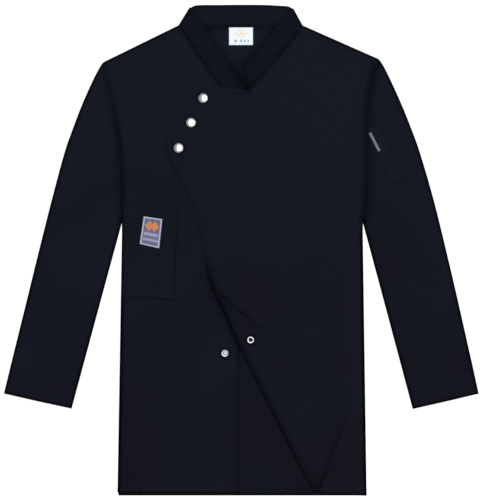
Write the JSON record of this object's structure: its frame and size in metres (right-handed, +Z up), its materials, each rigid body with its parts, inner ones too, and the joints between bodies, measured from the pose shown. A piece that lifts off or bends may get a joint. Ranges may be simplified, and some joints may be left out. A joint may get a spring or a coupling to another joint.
{
  "type": "chef jacket",
  "caption": "Navy-black chef jacket laid flat: stand collar, slanted snap closure, lower front corner folded back, long sleeves, hip pocket and sleeve pen pocket.",
  "frame": {"origin": "on the surface that the jacket lies on, at the middle of its outline", "axes": "+X to the wearer's left, +Y from the hem to the collar, +Z up from the surface, out of the jacket's front"},
  "size_m": [0.8005, 0.8327, 0.0115],
  "materials": {
    "body_cloth": "matte twill, navy-black",
    "collar_cloth": "matte twill, navy-black, two layers",
    "pocket_cloth": "matte twill, navy-black",
    "woven_label": "woven lilac-grey label with a pale border",
    "grey_label": "plain woven grey-lilac label",
    "white_label": "satin white woven label",
    "snap_metal": "polished nickel"
  },
  "bodies": {
    "root": {"back": "body_cloth", "right_front": "body_cloth", "left_front": "body_cloth", "sleeve_right": "body_cloth", "sleeve_left": "body_cloth", "collar": "collar_cloth", "hip_pocket": "pocket_cloth", "pen_pocket": "pocket_cloth", "pocket_label": "woven_label", "sleeve_label": "grey_label", "neck_label": "white_label", "snap_cap_1": "snap_metal", "snap_cap_2": "snap_metal", "snap_cap_3": "snap_metal", "snap_stud": "snap_metal", "snap_socket": "snap_metal"}
  },
  "joints": []
}
